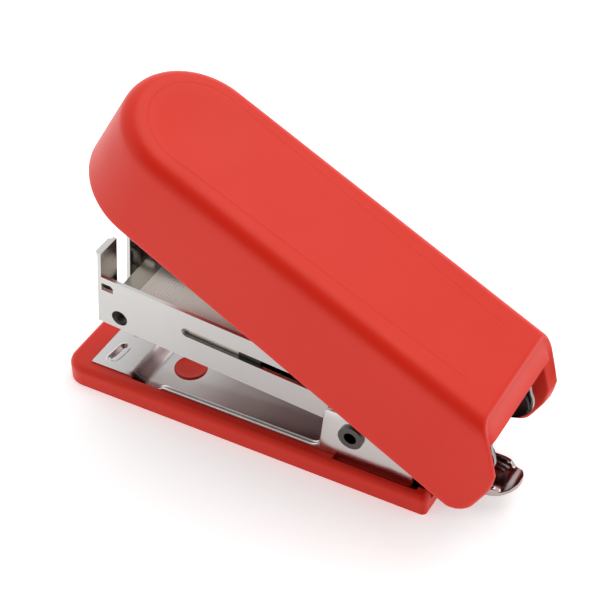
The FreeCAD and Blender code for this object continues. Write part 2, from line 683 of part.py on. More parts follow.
for item in magazine_parts:
    place(item, hinge_x, hinge_z, pitch)
for item in cover_parts:
    place(item, pivot_x, pivot_z, cover_pitch)
place(pressed_parts[0], pivot_x, pivot_z, cover_pitch - size("press_angle"))
place(pressed_parts[1], pivot_x, pivot_z, cover_pitch)

doc.recompute()
finished = base_parts + magazine_parts + cover_parts + pressed_parts
for item in doc.Objects:
    if "Invalid" in item.State or "Error" in item.State:
        raise RuntimeError("%s did not build: %s" % (item.Name, item.State))
os.makedirs("parts", exist_ok=True)
whole = FreeCAD.BoundBox()
for item in finished:
    if item.Shape.isNull() or not item.Shape.isValid() or item.Shape.Volume <= 0:
        raise RuntimeError("%s has no good shape" % item.Label)
    print("%-18s solids %d volume %9.2f" % (item.Label, len(item.Shape.Solids), item.Shape.Volume))
    whole.add(item.Shape.BoundBox)
    item.Shape.exportStep(os.path.join("parts", item.Label + ".step"))
print("outline", whole)
print("pivot %.4f %.4f" % (pivot_x, pivot_z))
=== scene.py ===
"""Looks of a small red hand stapler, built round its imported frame."""

import json
import logging
import math
from dataclasses import dataclass
from enum import Enum
from typing import Dict, List, Sequence, Tuple, Union

import bmesh
import bpy
import numpy as np
from mathutils import Matrix, Vector


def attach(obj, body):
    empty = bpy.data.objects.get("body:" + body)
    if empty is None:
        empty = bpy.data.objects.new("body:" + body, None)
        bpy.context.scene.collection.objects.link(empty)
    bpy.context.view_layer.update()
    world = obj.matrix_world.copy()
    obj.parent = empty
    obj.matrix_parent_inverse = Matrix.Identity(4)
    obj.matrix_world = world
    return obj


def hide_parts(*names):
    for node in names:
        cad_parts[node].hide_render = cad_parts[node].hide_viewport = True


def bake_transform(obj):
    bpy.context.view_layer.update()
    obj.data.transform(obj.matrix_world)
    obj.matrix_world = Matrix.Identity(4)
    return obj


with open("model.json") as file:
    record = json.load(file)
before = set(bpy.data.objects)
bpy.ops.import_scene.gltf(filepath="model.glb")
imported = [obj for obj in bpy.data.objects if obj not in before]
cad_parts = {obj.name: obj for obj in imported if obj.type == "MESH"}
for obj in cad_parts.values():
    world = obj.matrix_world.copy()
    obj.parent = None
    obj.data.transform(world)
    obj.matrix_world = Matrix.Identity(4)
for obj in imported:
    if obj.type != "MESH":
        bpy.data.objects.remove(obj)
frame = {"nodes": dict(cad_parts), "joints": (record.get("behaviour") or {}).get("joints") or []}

MM = 0.001
WELD = 1e-7
COVER_PITCH = 30.6
LOG = logging.getLogger("stapler")


class Body(Enum):
    """The bodies that pieces ride on."""

    BASE = "base"
    MAGAZINE = "magazine_unit"
    STRIP = "strip"
    PUSHER = "pusher_unit"
    COVER = "cover_unit"


class Slot(Enum):
    """The record's material slots."""

    RED = "red_plastic"
    BRIGHT = "bright_steel"
    DARK = "dark_steel"
    SPRING = "spring_steel"
    STAPLE = "staple_wire"
    BLACK = "black_plastic"


# ---------------------------------------------------------------- numbers and meshes


def smoothstep(value: np.ndarray) -> np.ndarray:
    """Return 3t^2 - 2t^3 of value, held between 0 and 1.

    Args:
        value: any array.

    Returns:
        The eased array.
    """
    t = np.clip(value, 0.0, 1.0)
    return t * t * (3.0 - 2.0 * t)


def grid_quads(rows: int, columns: int, ring: bool = False) -> np.ndarray:
    """Return the quads of a grid of rows times columns vertices.

    Args:
        rows: vertices along the first parameter.
        columns: vertices along the second parameter.
        ring: True if the last column joins the first.

    Returns:
        An array of vertex numbers, four to a quad.
    """
    row = np.arange(rows - 1)[:, None]
    column = np.arange(columns if ring else columns - 1)[None, :]
    after = (column + 1) % columns
    corners = (row * columns + column, row * columns + after,
               (row + 1) * columns + after, (row + 1) * columns + column)
    return np.stack([np.broadcast_to(c, (rows - 1, column.size)) for c in corners], -1).reshape(-1, 4)


@dataclass(frozen=True)
class LocalFrame:
    """A frame that is turned about the y axis, in millimetres."""

    x: float
    z: float
    pitch: float

    def to_row(self, points: np.ndarray) -> np.ndarray:
        """Turn points by the pitch and move them to the frame's origin.

        Args:
            points: local (u, y, v) points in millimetres.

        Returns:
            Points in metres in the row frame.
        """
        c, s = math.cos(math.radians(self.pitch)), math.sin(math.radians(self.pitch))
        u, y, v = points[..., 0], points[..., 1], points[..., 2]
        return np.stack([self.x + u * c - v * s, y, self.z + u * s + v * c], -1) * MM


def mesh_object(name: str, points: np.ndarray, faces: Sequence, sharp: float = 35.0) -> bpy.types.Object:
    """Make a welded mesh object with outward normals.

    Args:
        name: the piece's name.
        points: vertices in metres.
        faces: lists of vertex numbers.
        sharp: edges that turn more than this many degrees stay sharp.

    Returns:
        The linked object, at the origin.
    """
    mesh = bpy.data.meshes.new(name)
    mesh.from_pydata(np.asarray(points).reshape(-1, 3).tolist(), [], [list(map(int, f)) for f in faces])
    work = bmesh.new()
    work.from_mesh(mesh)
    bmesh.ops.remove_doubles(work, verts=work.verts, dist=WELD)
    bmesh.ops.dissolve_degenerate(work, dist=WELD, edges=work.edges)
    bmesh.ops.recalc_face_normals(work, faces=work.faces)
    work.to_mesh(mesh)
    work.free()
    mesh.polygons.foreach_set("use_smooth", np.ones(len(mesh.polygons), bool))
    mesh.set_sharp_from_angle(angle=math.radians(sharp))
    made = bpy.data.objects.new(name, mesh)
    bpy.context.scene.collection.objects.link(made)
    return made


def tube(path: np.ndarray, across: np.ndarray, over: np.ndarray,
         section: np.ndarray) -> Tuple[np.ndarray, list]:
    """Carry a closed section along a path: point = path + a * across + b * over.

    Args:
        path: points along the path.
        across: unit vectors for the section's first number.
        over: unit vectors for the section's second number.
        section: the section's (a, b) points, in order round it.

    Returns:
        The vertices, and the faces with both ends closed.
    """
    points = path[:, None] + section[None, :, :1] * across[:, None] + section[None, :, 1:] * over[:, None]
    rows, columns = points.shape[:2]
    faces = grid_quads(rows, columns, ring=True).tolist()
    faces.append(list(range(columns))[::-1])
    faces.append(list(range((rows - 1) * columns, rows * columns)))
    return points.reshape(-1, 3), faces


def sheet_shell(top: np.ndarray, bottom: np.ndarray) -> Tuple[np.ndarray, np.ndarray]:
    """Close a sheet between two grids, with walls round its border.

    Args:
        top: rows by columns of points on the upper face.
        bottom: the same on the lower face.

    Returns:
        The vertices and the quads.
    """
    rows, columns = top.shape[:2]
    keep = np.ones((rows - 1, columns - 1), bool)
    number = np.arange(rows * columns).reshape(rows, columns)
    under = number + rows * columns
    a, b, c, d = number[:-1, :-1], number[:-1, 1:], number[1:, 1:], number[1:, :-1]
    face = np.stack([a, b, c, d], -1)[keep]
    back = np.stack([a, d, c, b], -1)[keep] + rows * columns
    padded = np.pad(keep, 1)
    walls = []
    for start, end, ring_start, ring_end, other in (
            (a, b, under[:-1, :-1], under[:-1, 1:], padded[:-2, 1:-1]),
            (b, c, under[:-1, 1:], under[1:, 1:], padded[1:-1, 2:]),
            (c, d, under[1:, 1:], under[1:, :-1], padded[2:, 1:-1]),
            (d, a, under[1:, :-1], under[:-1, :-1], padded[1:-1, :-2])):
        edge = keep & ~other
        walls.append(np.stack([end[edge], start[edge], ring_start[edge], ring_end[edge]], -1))
    return np.concatenate([top.reshape(-1, 3), bottom.reshape(-1, 3)]), np.concatenate([face, back, *walls])


def join_shells(shells: Sequence[Tuple[np.ndarray, Sequence]]) -> Tuple[np.ndarray, list]:
    """Join several shells into one list of vertices and faces.

    Args:
        shells: vertices and faces of each.

    Returns:
        All vertices, and all faces with their numbers moved on.
    """
    points, faces, count = [], [], 0
    for vertices, own in shells:
        points.append(vertices.reshape(-1, 3))
        faces.extend([[int(n) + count for n in f] for f in own])
        count += len(points[-1])
    return np.concatenate(points), faces


def bevelled_section(half: float, thick: float, cut: float) -> np.ndarray:
    """Return a rectangle with cut corners.

    Args:
        half: half its width.
        thick: half its thickness.
        cut: how much each corner loses.

    Returns:
        Eight (a, b) points in order.
    """
    return np.array([(half - cut, thick), (half, thick - cut), (half, cut - thick), (half - cut, -thick),
                     (cut - half, -thick), (-half, cut - thick), (-half, thick - cut), (cut - half, thick)])


def round_section(radius: float, count: int = 8) -> np.ndarray:
    """Return a circle of count points."""
    turn = np.arange(count) * 2.0 * math.pi / count
    return np.stack([np.cos(turn), np.sin(turn)], -1) * radius


# ---------------------------------------------------------------- finishes


def node(tree: bpy.types.NodeTree, kind: str, **values: object) -> bpy.types.Node:
    """Add a node and set its properties.

    Args:
        tree: where it goes.
        kind: the node's type name.
        **values: properties by name.

    Returns:
        The node.
    """
    made = tree.nodes.new(kind)
    for key, value in values.items():
        setattr(made, key, value)
    return made


def fill(target: bpy.types.Node, values: Dict[Union[str, int], object]) -> None:
    """Set a node's input sockets.

    Args:
        target: the node.
        values: a value for each socket, by its label or number.
    """
    for label, value in values.items():
        target.inputs[label].default_value = value


def surface_life() -> bpy.types.NodeTree:
    """Build the shared group: handling smudges, fine scratches and grain over a position.

    Returns:
        The group, with a position and three scales in, and Smudge, Grain and Scratch out.
    """
    name = "surface_life"
    if name in bpy.data.node_groups:
        return bpy.data.node_groups[name]
    group = bpy.data.node_groups.new(name, "ShaderNodeTree")
    group.interface.new_socket("Position", in_out="INPUT", socket_type="NodeSocketVector")
    for label in ("Smudge Scale", "Grain Scale", "Scratch Scale"):
        group.interface.new_socket(label, in_out="INPUT", socket_type="NodeSocketFloat")
    for label in ("Smudge", "Grain", "Scratch"):
        group.interface.new_socket(label, in_out="OUTPUT", socket_type="NodeSocketFloat")
    enter, leave = node(group, "NodeGroupInput"), node(group, "NodeGroupOutput")
    smudge, grain, scratch = (node(group, "ShaderNodeTexNoise") for _ in range(3))
    stretch = node(group, "ShaderNodeMapping")
    fill(stretch, {"Scale": (0.06, 1.0, 1.0), "Rotation": (0.1, math.radians(-5), 0.35)})
    thin = node(group, "ShaderNodeMapRange", clamp=True)
    fill(thin, {"From Min": 0.62, "From Max": 0.74})
    link = group.links.new
    link(enter.outputs["Position"], stretch.inputs["Vector"])
    for noise, detail, label, source in ((smudge, 4.0, "Smudge Scale", enter.outputs["Position"]),
                                         (grain, 2.0, "Grain Scale", enter.outputs["Position"]),
                                         (scratch, 3.0, "Scratch Scale", stretch.outputs["Vector"])):
        fill(noise, {"Detail": detail})
        link(source, noise.inputs["Vector"])
        link(enter.outputs[label], noise.inputs["Scale"])
    link(scratch.outputs["Fac"], thin.inputs["Value"])
    link(smudge.outputs["Fac"], leave.inputs["Smudge"])
    link(grain.outputs["Fac"], leave.inputs["Grain"])
    link(thin.outputs["Result"], leave.inputs["Scratch"])
    return group


@dataclass(frozen=True)
class Finish:
    """One finish: two shades that drift into each other, a roughness range and a fine relief."""

    name: str
    slot: Slot
    shade: Tuple[float, float, float]
    worn: Tuple[float, float, float]
    metallic: float = 0.0
    smooth: float = 0.3
    rough: float = 0.4
    smudge_scale: float = 60.0
    grain_scale: float = 4000.0
    scratch_scale: float = 900.0
    scratch: float = 0.1
    relief: float = 0.00002
    relief_share: float = 0.3
    specular: float = 0.5
    tint: Tuple[float, float, float] = (1.0, 1.0, 1.0)
    # Painted shade: (x in millimetres, lightness) stops that darken the colour along the object's x axis.
    painted_shade: Tuple[Tuple[float, float], ...] = ()

    def material(self) -> bpy.types.Material:
        """Return the finish's material, built once."""
        if self.name in bpy.data.materials:
            return bpy.data.materials[self.name]
        made = bpy.data.materials.new(self.name)
        made.use_nodes = True
        tree = made.node_tree
        link = tree.links.new
        shader = tree.nodes["Principled BSDF"]
        fill(shader, {"Metallic": self.metallic, "Specular IOR Level": self.specular,
                      "Specular Tint": (*self.tint, 1.0)})
        place = node(tree, "ShaderNodeTexCoord")
        life = node(tree, "ShaderNodeGroup", node_tree=surface_life())
        fill(life, {"Smudge Scale": self.smudge_scale, "Grain Scale": self.grain_scale,
                    "Scratch Scale": self.scratch_scale})
        link(place.outputs["Object"], life.inputs["Position"])
        colour = node(tree, "ShaderNodeMix", data_type="RGBA")
        fill(colour, {6: (*self.shade, 1.0), 7: (*self.worn, 1.0)})
        link(life.outputs["Smudge"], colour.inputs[0])
        link(self.paint_shade_along_x(tree, place, colour).outputs[2] if self.painted_shade else colour.outputs[2],
             shader.inputs["Base Color"])
        gloss = node(tree, "ShaderNodeMapRange", clamp=True)
        fill(gloss, {"From Min": 0.3, "From Max": 0.7, "To Min": self.smooth, "To Max": self.rough})
        link(life.outputs["Smudge"], gloss.inputs["Value"])
        marks = node(tree, "ShaderNodeMath", operation="MULTIPLY_ADD")
        fill(marks, {1: self.scratch})
        link(life.outputs["Scratch"], marks.inputs[0])
        link(gloss.outputs["Result"], marks.inputs[2])
        link(marks.outputs["Value"], shader.inputs["Roughness"])
        bump = node(tree, "ShaderNodeBump")
        fill(bump, {"Strength": self.relief_share, "Distance": self.relief})
        link(life.outputs["Grain"], bump.inputs["Height"])
        link(bump.outputs["Normal"], shader.inputs["Normal"])
        return made

    def paint_shade_along_x(self, tree: bpy.types.NodeTree, place: bpy.types.Node,
               colour: bpy.types.Node) -> bpy.types.Node:
        """Darken the colour along the object's x axis: painted shade and painted dark reflection, tinted red
        as a painted reflection of the red plastic.

        Args:
            tree: the material's tree.
            place: the coordinates' node.
            colour: the node that mixes the two shades.

        Returns:
            The node whose colour carries the painted shade.
        """
        link = tree.links.new
        apart = node(tree, "ShaderNodeSeparateXYZ")
        scaled = node(tree, "ShaderNodeMapRange", clamp=True)
        (first, _), (last, _) = self.painted_shade[0], self.painted_shade[-1]
        fill(scaled, {"From Min": first * MM, "From Max": last * MM})
        ramp = node(tree, "ShaderNodeValToRGB")
        for number, (x, light) in enumerate(self.painted_shade):
            at = (x - first) / (last - first)
            stops = ramp.color_ramp.elements
            inner = 0 < number < len(self.painted_shade) - 1
            stop = stops.new(at) if inner else stops[0 if number == 0 else -1]
            stop.position = at
            # Lightness on red, a higher power on green and blue: painted shade with a painted red
            # reflection.
            stop.color = (light, light ** SHADE_RED_REFLECTION_POWER, light ** SHADE_RED_REFLECTION_POWER, 1.0)
        shaded_colour = node(tree, "ShaderNodeMix", data_type="RGBA", blend_type="MULTIPLY")
        fill(shaded_colour, {0: 1.0})
        link(place.outputs["Object"], apart.inputs["Vector"])
        link(apart.outputs["X"], scaled.inputs["Value"])
        link(scaled.outputs["Result"], ramp.inputs["Fac"])
        link(colour.outputs[2], shaded_colour.inputs[6])
        link(ramp.outputs["Color"], shaded_colour.inputs[7])
        return shaded_colour

    def dress(self, piece: bpy.types.Object) -> None:
        """Give piece this finish."""
        piece.data.materials.clear()
        piece.data.materials.append(self.material())


SHEET_GRAIN = 2600.0
WIRE_GRAIN = 3000.0
SHEET = {"grain_scale": SHEET_GRAIN, "scratch": 0.06, "relief": 0.00001}
# Power on green and blue in the painted shade: a painted red reflection of the red plastic.
SHADE_RED_REFLECTION_POWER = 1.22
RED = Finish("satin_red_plastic", Slot.RED, (0.74, 0.0200, 0.0080), (0.69, 0.0180, 0.0070),
             smooth=0.36, rough=0.44, grain_scale=5200.0, scratch=0.05, specular=0.34,
             tint=(1.0, 0.82, 0.68))
BRIGHT = Finish("nickel_plated_sheet", Slot.BRIGHT, (0.66, 0.655, 0.64), (0.58, 0.575, 0.56), metallic=1.0,
                smooth=0.14, rough=0.26, **SHEET)
# Its stops paint shade and dark reflection: dark towards the rear under the magazine, and a dark band at the
# step up to the anvil.
PLATE = Finish("nickel_plated_base_painted_shade", Slot.BRIGHT, (0.62, 0.615, 0.605), (0.54, 0.535, 0.53), metallic=1.0,
               painted_shade=((-12.0, 0.13), (2.0, 0.26), (12.0, 0.46), (21.0, 0.85), (27.0, 0.85), (28.2, 0.36),
                     (29.6, 0.30), (30.8, 0.80), (38.0, 1.0)), smooth=0.10, rough=0.20,
               **SHEET)
# Its stops paint shade: the magazine darker towards its rear, under the cover.
WALLS = Finish("nickel_plated_magazine_painted_shade", Slot.BRIGHT, (0.62, 0.615, 0.60), (0.54, 0.535, 0.52), metallic=1.0,
               painted_shade=((-42.0, 0.06), (-33.0, 0.10), (-26.0, 0.55), (-15.0, 0.90), (36.0, 1.0)), smooth=0.14,
               rough=0.26, **SHEET)
# Dark grey: painted shade, the dark reflection seen on the frame's ear faces.
FRAME = Finish("frame_sheet_darkened_for_shade", Slot.DARK, (0.34, 0.33, 0.32), (0.24, 0.235, 0.23), metallic=1.0,
               smooth=0.16, rough=0.28, **SHEET)
# Dark brown: painted shade, the brownish shadow seen inside the magazine through its holes.
RAIL = Finish("brown_rail_sheet_painted_shade", Slot.DARK, (0.30, 0.27, 0.23), (0.22, 0.20, 0.17), metallic=1.0,
              smooth=0.20, rough=0.32, grain_scale=SHEET_GRAIN)
TONGUE = Finish("nickel_plated_tongue", Slot.BRIGHT, (0.50, 0.42, 0.41), (0.42, 0.35, 0.34), metallic=1.0,
                smooth=0.08, rough=0.18, **SHEET)
# Nearly black: painted shade of the hollow rivet's bore.
RIVET = Finish("hinge_rivet_painted_bore_shade", Slot.DARK, (0.13, 0.122, 0.115), (0.07, 0.066, 0.062), metallic=1.0,
               smooth=0.18, rough=0.34, grain_scale=SHEET_GRAIN)
DARK = Finish("dark_plated_rivet", Slot.DARK, (0.30, 0.29, 0.28), (0.20, 0.19, 0.185), metallic=1.0,
              smooth=0.22, rough=0.36, grain_scale=SHEET_GRAIN)
SPRING = Finish("drawn_spring_wire", Slot.SPRING, (0.52, 0.52, 0.51), (0.42, 0.42, 0.41), metallic=1.0,
                smooth=0.16, rough=0.28, grain_scale=WIRE_GRAIN)
STAPLE = Finish("glued_staple_wire", Slot.STAPLE, (0.50, 0.46, 0.42), (0.40, 0.36, 0.32), metallic=1.0,
                smooth=0.24, rough=0.38, grain_scale=WIRE_GRAIN, scratch=0.0, relief=0.000002)
BLACK = Finish("black_moulded_slider", Slot.BLACK, (0.022, 0.021, 0.02), (0.035, 0.034, 0.032),
               smooth=0.38, rough=0.52, grain_scale=4200.0)


# ---------------------------------------------------------------- sub-assemblies


@dataclass
class TopCover:
    """The red cover: a shell with a round nose, a soft roof edge, a fine line and a thumb dish."""

    place: LocalFrame
    half: float = 13.2
    nose: float = 68.3
    skirt: float = -8.4
    roof_rear: float = 12.9
    roof_front: float = 9.0
    roof_end: float = 3.0
    roof_edge: float = 2.8
    wall: float = 2.0
    lip_low: float = 9.3
    lip_end: float = 5.3
    rear_outer: float = 0.7
    rear_inner: float = 0.45
    rear_extra: float = 0.3
    line_inset: float = 3.9
    line_taper: float = 2.1
    line_end: float = 8.0
    line_depth: float = 0.075
    line_width: float = 0.11
    dish_radius: float = 8.7
    dish_depth: float = 0.38
    lobe: float = 4.2
    back: float = -5.5
    upright_top: float = 1.0
    knee: Tuple[float, float] = (-4.5, 4.6)
    past_roof: Tuple[float, float] = (6.1, 15.9)
    rear_softness: float = 0.5
    hollow_rear: float = 10.9
    hollow_front: float = 7.5
    hollow_least: float = 7.1

    def roof(self, u: np.ndarray) -> np.ndarray:
        """Return the roof's height: a straight slope from the rear end to the nose."""
        slope = (self.roof_front - self.roof_rear) / (self.nose + self.half - self.roof_end)
        return self.roof_rear + (u - self.roof_end) * slope

    def rear(self, v: np.ndarray) -> np.ndarray:
        """Return where the rear edge stands at height v.

        A quarter circle at the bottom, an upright, then a slant to the roof's end, averaged
        over a short height so that its corners are soft.

        Args:
            v: heights above the pivot.

        Returns:
            The u of the rear edge.
        """
        turn = np.linspace(0.0, math.pi / 2, 9)
        heights = np.concatenate([self.skirt + self.lobe * (1 - np.cos(turn)),
                                  [self.upright_top, self.knee[1], self.roof_rear, self.past_roof[1]]])
        places = np.concatenate([self.back + self.lobe * (1 - np.sin(turn)),
                                 [self.back, self.knee[0], self.roof_end, self.past_roof[0]]])
        soft = self.rear_softness
        near = [np.interp(v + d, heights, places) for d in (-soft, -soft / 2, 0.0, soft / 2, soft)]
        return np.where(v < self.skirt + 1.5, near[2], np.mean(near, 0))

    def stations(self) -> np.ndarray:
        """Return distances ahead of the rear edge, close together at the rear."""
        close = np.array([0.0, 0.04, 0.13, 0.28, 0.48, 0.72, 1.0, 1.3, 1.7, 2.2, 2.8, 3.5, 4.2])
        return np.concatenate([close, np.linspace(5.0, self.nose - self.roof_end, 56)[:-1]])

    def profile(self, inset: float, edge: float, foot: float, share: np.ndarray) -> Tuple[np.ndarray, ...]:
        """Work out half a section from the middle of the roof to the skirt's lower edge.

        Args:
            inset: how far the skin lies inside the outline.
            edge: radius of the roof's edge.
            foot: radius at the skirt's lower edge.
            share: how far each station's line has moved in, one number to a station.

        Returns:
            Inset from the outline, drop below the roof, share of the wall's height, the
            normal's two parts and the distance from the fine line, stations by points.
        """
        line = (self.line_inset + self.line_taper * share)[:, None]
        near = np.array([0.42, 0.26, 0.13, 0.0, -0.13, -0.26, -0.42])[None, :]
        start = self.half + (line + 0.42 - self.half) * np.linspace(0.0, 1.0, 9)[None, :-1]
        final = inset + edge
        after = (line - 0.42) + (final - line + 0.42) * np.linspace(0.0, 1.0, 5)[None, 1:-1]
        flat = np.concatenate([start, line + near, after], 1)
        turn = np.linspace(0.0, math.pi / 2, 9)
        wall_share = np.concatenate([np.linspace(1.0, 0.3, 8), np.linspace(0.22, 0.0, 7)])[1:]
        low = np.linspace(0.0, math.pi / 2, 5)[1:]
        rows = len(share)

        def spread(values: np.ndarray) -> np.ndarray:
            """Repeat a row of values for every station."""
            return np.broadcast_to(values, (rows, len(values)))

        count = flat.shape[1]
        away = np.concatenate([flat, spread(inset + edge * (1 - np.sin(turn))),
                               spread(np.full(len(wall_share), inset)),
                               spread(inset + foot * (1 - np.cos(low)) * (1 if inset == 0 else -1))], 1)
        drop = np.concatenate([np.zeros(count), edge * (1 - np.cos(turn)),
                               np.full(len(wall_share) + len(low), edge)])
        height = np.concatenate([np.ones(count + len(turn)), wall_share, np.zeros(len(low))])
        sink = np.concatenate([np.zeros(count + len(turn) + len(wall_share)), foot * np.sin(low)])
        out = np.concatenate([np.zeros(count), np.sin(turn), np.ones(len(wall_share)), np.cos(low)])
        over = np.concatenate([np.ones(count), np.cos(turn), np.zeros(len(wall_share)), np.zeros(len(low))])
        apart = np.full(away.shape, 9.0)
        apart[:, :count] = np.abs(flat - line)
        return away, spread(drop), spread(height), spread(sink), spread(out), spread(over), apart

    def skin(self, inner: bool) -> np.ndarray:
        """Return one skin of the shell, stations by points, as (u, y, v).

        Straight stations run from the rear edge to the nose's centre on each side, with
        y = side * (half - inset); round the nose the section turns about the nose's centre.

        Args:
            inner: True for the hollow's skin.

        Returns:
            The local points.
        """
        ahead = self.stations()
        turn = np.linspace(-math.pi / 2, math.pi / 2, 49)
        whole = self.nose - self.roof_end
        share = np.concatenate([1 - ahead / whole, np.zeros(len(turn)), (1 - ahead / whole)[::-1]])
        inset, edge, foot = (self.wall, 1.0, 0.4) if inner else (0.0, self.roof_edge, 0.6)
        away, drop, height, sink, out, over, apart = self.profile(inset, edge, foot, share)
        ceiling = (self.roof_rear - 2.0 if inner else self.roof_rear) - edge
        base = self.skirt + foot
        v_guess = np.where(height >= 1, ceiling + edge - drop, base + (ceiling - base) * height) - sink
        if inner:
            v_guess = np.where(height >= 1, self.lip_low, np.minimum(v_guess, self.lip_low))
        rear = self.rear(v_guess)
        steps = np.concatenate([ahead, np.full(len(turn), whole), ahead[::-1]])[:, None]
        u = rear + steps * (self.nose - rear) / whole
        radius = self.half - away
        y = np.concatenate([-radius[:len(ahead)], radius[len(ahead):]])
        middle = slice(len(ahead), len(ahead) + len(turn))
        u[middle] = self.nose + radius[middle] * np.cos(turn)[:, None]
        y[middle] = radius[middle] * np.sin(turn)[:, None]
        top = self.roof(u)
        if inner:
            step = smoothstep((u - self.lip_end) / 0.5)
            slope = (self.hollow_front - self.hollow_rear) / (self.nose - self.lip_end)
            deep = np.maximum(self.hollow_rear + (u - self.lip_end) * slope, self.hollow_least)
            top = self.lip_low + (deep - self.lip_low) * step
        else:
            fade = smoothstep((u - self.line_end) / 2.0)
            top = top - self.line_depth * fade * np.exp(-(apart / self.line_width) ** 2)
            bowl = np.clip(1 - ((u - self.nose) ** 2 + y ** 2) / self.dish_radius ** 2, 0, 1)
            top = top - self.dish_depth * smoothstep(bowl)
        v = np.where(height >= 1, top - drop, base + (top - edge - base) * height) - sink
        gone = u - rear
        reach = self.rear_inner if inner else self.rear_outer + self.rear_extra * over * (height >= 1)
        short = np.clip(reach - gone, 0, reach)
        pull = reach - np.sqrt(np.maximum(reach ** 2 - short ** 2, 0))
        pull[middle] = 0.0
        pull = pull if inner else -pull
        y = y + np.sign(y) * out * pull
        v = v + over * pull
        return np.stack([u, y, v], -1)

    def build(self) -> bpy.types.Object:
        """Join the two skins at the skirt and close the rear rim between them.

        Returns:
            The cover, riding on its body in place of the plain one.
        """
        outer, hollow = self.skin(False), self.skin(True)
        points = np.concatenate([outer, hollow[:, ::-1]], 1)
        rows, columns = points.shape[:2]
        faces = grid_quads(rows, columns)
        pair = np.arange(columns // 2 - 1)
        ends = []
        for first in (0, (rows - 1) * columns):
            ends.append(np.stack([first + pair, first + pair + 1, first + columns - 2 - pair,
                                  first + columns - 1 - pair], -1))
        piece = mesh_object("cover_shell", self.place.to_row(points), np.concatenate([faces, *ends]), 50.0)
        RED.dress(piece)
        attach(piece, Body.COVER.value)
        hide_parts("top_cover")
        return piece


